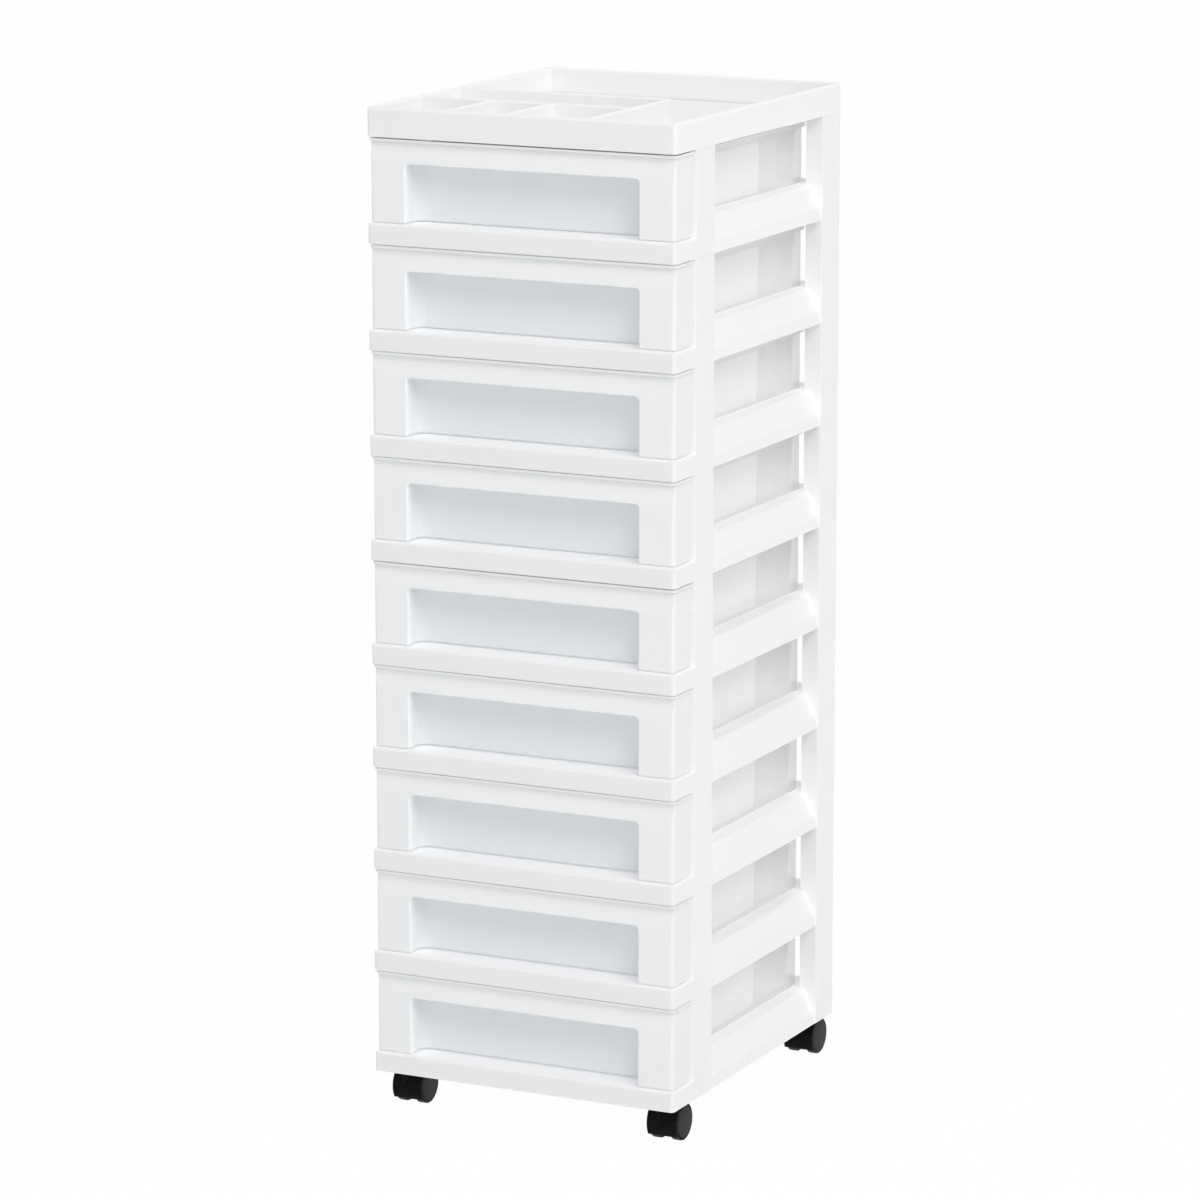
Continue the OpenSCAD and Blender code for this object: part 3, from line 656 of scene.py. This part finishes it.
HOOD_BLACK = MouldedPlastic(
    "hood_black", base=linear(17, 16, 17), shade=linear(14, 13, 14), edge=linear(52, 50, 51),
    dust=linear(60, 58, 55), roughness=0.38, dust_amount=0.03, shine=0.05, crevice_shade=linear(2, 2, 2),
    crevice_shade_amount=0.95)
WHEEL_BLACK = MouldedPlastic(
    "wheel_black", base=linear(25, 25, 26), shade=linear(22, 22, 23), edge=linear(52, 51, 52),
    dust=linear(72, 69, 65), roughness=0.5, dust_amount=0.04, shine=0.16,
    crevice_shade=linear(2, 2, 2), crevice_shade_amount=0.95)
STEM_STEEL = BrightSteel("steel", base=linear(190, 191, 194), shade=linear(168, 169, 172), roughness=0.3)


@dataclass(frozen=True)
class SoftEdges:
    """Small radii that a mould leaves on every edge, laid over a CAD node without touching its mesh."""

    width: float = 0.0004
    segments: int = 2
    angle: float = math.radians(30)
    join_distance: float = 1e-6
    flat_angle: float = math.radians(0.08)

    def lay_on(self, node: bpy.types.Object) -> None:
        """Adds the modifiers to a node.

        Args:
            node: The node to soften.
        """
        node.modifiers.new("join_faces", "WELD").merge_threshold = self.join_distance
        flat = node.modifiers.new("whole_faces", "DECIMATE")
        flat.decimate_type = "DISSOLVE"
        flat.angle_limit = self.flat_angle
        bevel = node.modifiers.new("edge_radii", "BEVEL")
        bevel.width, bevel.segments, bevel.angle_limit = self.width, self.segments, self.angle
        bevel.limit_method = "ANGLE"
        bevel.miter_outer = "MITER_ARC"
        bevel.use_clamp_overlap = True
        smooth = node.modifiers.new("smooth_faces", "NODES")
        smooth.node_group = smooth_group()
        even = node.modifiers.new("even_light", "WEIGHTED_NORMAL")
        even.weight, even.keep_sharp = 100, False


STRIP_WIDTHS = (0.0009, 0.002)      # mean widths of a face at which it fully is a radius, and no longer is
STRIP_CORNERS = 3.5                 # the radii are strips, with more corners than a triangle


def smooth_group() -> bpy.types.NodeTree:
    """Returns the geometry nodes that smooth every face and mark the narrow ones, built on the first call."""
    name = "smooth_faces"
    if name in bpy.data.node_groups:
        return bpy.data.node_groups[name]
    tree = bpy.data.node_groups.new(name, "GeometryNodeTree")
    tree.interface.new_socket("Geometry", in_out="INPUT", socket_type="NodeSocketGeometry")
    tree.interface.new_socket("Geometry", in_out="OUTPUT", socket_type="NodeSocketGeometry")
    bench = Bench(tree)
    given = bench.add("NodeGroupInput")
    ends = bench.add("GeometryNodeInputMeshEdgeVertices").outputs
    apart = bench.add("ShaderNodeVectorMath", {0: ends[2], 1: ends[3]}, operation="DISTANCE")
    length = apart.outputs["Value"]
    mean = bench.add("GeometryNodeFieldOnDomain", {0: length}, data_type="FLOAT", domain="EDGE").outputs[0]
    width = bench.math("DIVIDE", bench.add("GeometryNodeInputMeshFaceArea").outputs[0], mean)
    corners = bench.add("GeometryNodeInputMeshFaceNeighbors").outputs["Vertex Count"]
    strip = bench.math("GREATER_THAN", corners, STRIP_CORNERS)
    band = bench.math("MULTIPLY", bench.remap(width, *STRIP_WIDTHS, 1.0, 0.0), strip)
    marked = bench.add("GeometryNodeStoreNamedAttribute",
                       {"Geometry": given.outputs[0], "Name": EDGE_BAND, "Value": band},
                       data_type="FLOAT", domain="FACE").outputs[0]
    smooth = bench.add("GeometryNodeSetShadeSmooth", {"Geometry": marked})
    bench.add("NodeGroupOutput", {0: smooth.outputs[0]})
    return tree


def dress(name: str, material: bpy.types.Material, edges: SoftEdges) -> None:
    """Puts one material in all of a node's slots and softens its edges.

    Args:
        name: The node's name.
        material: Its material.
        edges: Its radii.
    """
    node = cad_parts[name]
    if not node.material_slots:
        node.data.materials.append(material)
    for place in node.material_slots:
        place.link = "OBJECT"
        place.material = material
    edges.lay_on(node)


class Finishes:
    """All the materials, each built once."""

    def __init__(self) -> None:
        """Builds the effects and the materials."""
        effects = SurfaceEffects()
        self.frame = FRAME_WHITE.build(effects)
        self.tray = TRAY_WHITE.build(effects)
        self.drawer = DRAWER_CLOUDY.build(effects)
        self.hood = HOOD_BLACK.build(effects)
        self.wheel = WHEEL_BLACK.build(effects)
        self.steel = STEM_STEEL.build(effects)


@dataclass
class TowerFrames:
    """The eight tier mouldings and the base that stand on each other."""

    tiers: int = TIERS
    edges: SoftEdges = SoftEdges(width=0.0005)

    def names(self) -> list[str]:
        """Returns the names of the mouldings, from the top down."""
        return [f"frame_{tier}" for tier in range(1, self.tiers)] + ["base_frame"]

    def build(self, finishes: Finishes) -> list[str]:
        """Dresses the mouldings and returns their names."""
        for name in self.names():
            dress(name, finishes.frame, self.edges)
        return self.names()


@dataclass
class OrganiserTray:
    """The tray that closes the tower's top."""

    edges: SoftEdges = SoftEdges(width=0.0004)

    def build(self, finishes: Finishes) -> list[str]:
        """Dresses the tray and returns its name."""
        dress("top_tray", finishes.tray, self.edges)
        return ["top_tray"]


@dataclass
class DrawerStack:
    """The nine drawers."""

    tiers: int = TIERS
    edges: SoftEdges = SoftEdges(width=0.0005)

    def build(self, finishes: Finishes) -> list[str]:
        """Dresses the drawers and returns their names."""
        made = [f"drawer_{tier}" for tier in range(1, self.tiers + 1)]
        for name in made:
            dress(name, finishes.drawer, self.edges)
        return made


@dataclass
class CasterSet:
    """The four casters, each with its stem, hood, axle and pair of wheels."""

    edges: SoftEdges = SoftEdges(width=0.00025)

    def build(self, finishes: Finishes) -> list[str]:
        """Dresses the casters and returns the names of their parts."""
        made = []
        for corner in ("front_left", "front_right", "rear_left", "rear_right"):
            wanted = {f"stem_{corner}": finishes.steel, f"hood_{corner}": finishes.hood,
                      f"axle_{corner}": finishes.steel, f"wheel_{corner}_l": finishes.wheel,
                      f"wheel_{corner}_r": finishes.wheel}
            for name, material in wanted.items():
                dress(name, material, self.edges)
            made += wanted
        return made


def seen(bench: Bench) -> bpy.types.NodeSocket:
    """Masks the rays by which something is seen rather than lit.

    Args:
        bench: The bench of a material or world.

    Returns:
        1 for rays from the camera, off gloss and through clear parts, and 0 for the rest.
    """
    rays = bench.add("ShaderNodeLightPath").outputs
    straight = bench.math("MAXIMUM", rays["Is Camera Ray"], rays["Is Glossy Ray"])
    return bench.math("MAXIMUM", straight, rays["Is Transmission Ray"])


WHITE: Colour = (1.0, 1.0, 1.0)


@dataclass
class Studio:
    """Camera, floor, white surroundings and a soft lamp. Lens and sensor are in mm, the rest in metres."""

    lens: float = 160.8
    sensor: float = 36.0
    clip: tuple[float, float] = (0.1, 60.0)
    yaw: float = math.radians(25.96)
    pitch: float = math.radians(11.89)
    distance: float = 4.971
    aim_height: float = 0.5
    aim_right: float = -0.0077
    aim_up: float = -0.0357
    aim_y: float = -0.0015
    sky: float = 0.6
    key_place: Point = (4.77, -3.43, 5.92)
    key_aim: Point = (0.0, 0.0, 0.5)
    key_size: float = 4.5
    key_power: float = 255.0
    floor_reach: float = 12.0
    floor_tone: float = 0.9
    floor_roughness: float = 0.9
    floor_white: float = 0.97      # share of white in what is seen of the floor; the rest shows the shadow

    def camera(self) -> None:
        """Places the camera at the photograph's angle."""
        level = math.cos(self.pitch)
        forward = Vector((-math.sin(self.yaw) * level, math.cos(self.yaw) * level, -math.sin(self.pitch)))
        right = Vector((math.cos(self.yaw), math.sin(self.yaw), 0.0))
        up = right.cross(forward)
        aim = Vector((0.0, self.aim_y, self.aim_height)) + right * self.aim_right + up * self.aim_up
        data = bpy.data.cameras.new("studio_camera")
        data.lens, data.sensor_width = self.lens, self.sensor
        data.clip_start, data.clip_end = self.clip
        camera = bpy.data.objects.new("studio_camera", data)
        turn = Matrix((right, up, -forward)).transposed().to_4x4()
        camera.matrix_world = Matrix.Translation(aim - forward * self.distance) @ turn
        bpy.context.scene.collection.objects.link(camera)
        bpy.context.scene.camera = camera

    def lamp(self) -> None:
        """Hangs the one wide lamp, above on the right and in front."""
        data = bpy.data.lights.new("key_lamp", "AREA")
        data.size, data.energy, data.shape = self.key_size, self.key_power, "SQUARE"
        lamp = bpy.data.objects.new("key_lamp", data)
        lamp.location = self.key_place
        towards = Vector(self.key_aim) - Vector(self.key_place)
        lamp.rotation_euler = towards.to_track_quat("-Z", "Y").to_euler()
        bpy.context.scene.collection.objects.link(lamp)

    def world(self) -> None:
        """Makes the surroundings: white to the camera and in reflections, a little lower as light."""
        world = bpy.data.worlds.new("white_room")
        world.use_nodes = True
        world.node_tree.nodes.clear()
        bench = Bench(world.node_tree)
        light = bench.add("ShaderNodeBackground", {"Color": rgba(WHITE), "Strength": self.sky})
        white = bench.add("ShaderNodeBackground", {"Color": rgba(WHITE), "Strength": 1.0})
        mixed = bench.add("ShaderNodeMixShader", {0: seen(bench), 1: light.outputs[0], 2: white.outputs[0]})
        bench.add("ShaderNodeOutputWorld", {"Surface": mixed.outputs[0]})
        bpy.context.scene.world = world

    def floor(self) -> None:
        """Lays the pale floor: white to the camera, with the tower's faint shadow kept."""
        mesh = bpy.data.meshes.new("studio_floor")
        reach = self.floor_reach
        mesh.from_pydata([(-reach, -reach, 0), (reach, -reach, 0), (reach, reach, 0), (-reach, reach, 0)], [],
                         [(0, 1, 2, 3)])
        floor = bpy.data.objects.new("studio_floor", mesh)
        bpy.context.scene.collection.objects.link(floor)
        material, bench, shader = new_material("floor_white")
        bench.feed(shader.inputs["Base Color"], rgba((self.floor_tone,) * 3))
        bench.feed(shader.inputs["Roughness"], self.floor_roughness)
        glow = bench.add("ShaderNodeEmission", {"Color": rgba(WHITE), "Strength": 1.0})
        share = bench.math("MULTIPLY", seen(bench), self.floor_white)
        mixed = bench.add("ShaderNodeMixShader", {0: share, 1: shader.outputs[0], 2: glow.outputs[0]})
        output = next(n for n in material.node_tree.nodes if n.type == "OUTPUT_MATERIAL")
        bench.feed(output.inputs["Surface"], mixed.outputs[0])
        mesh.materials.append(material)

    def build(self) -> list[str]:
        """Makes the whole studio and returns what was made."""
        self.camera()
        self.lamp()
        self.world()
        self.floor()
        bpy.context.scene.view_settings.view_transform = "Standard"
        return ["studio_camera", "key_lamp", "white_room", "studio_floor"]


def main() -> None:
    """Builds the sub-assemblies in order and reports each piece."""
    logging.basicConfig(level=logging.INFO, format="%(name)s: %(message)s")
    finishes = Finishes()
    assemblies = {"frames": TowerFrames(), "tray": OrganiserTray(), "drawers": DrawerStack(),
                  "casters": CasterSet()}
    for part, assembly in assemblies.items():
        for name in assembly.build(finishes):
            log.info("%s: %s", part, name)
    for name in Studio().build():
        log.info("studio: %s", name)


if __name__ == "__main__":
    main()
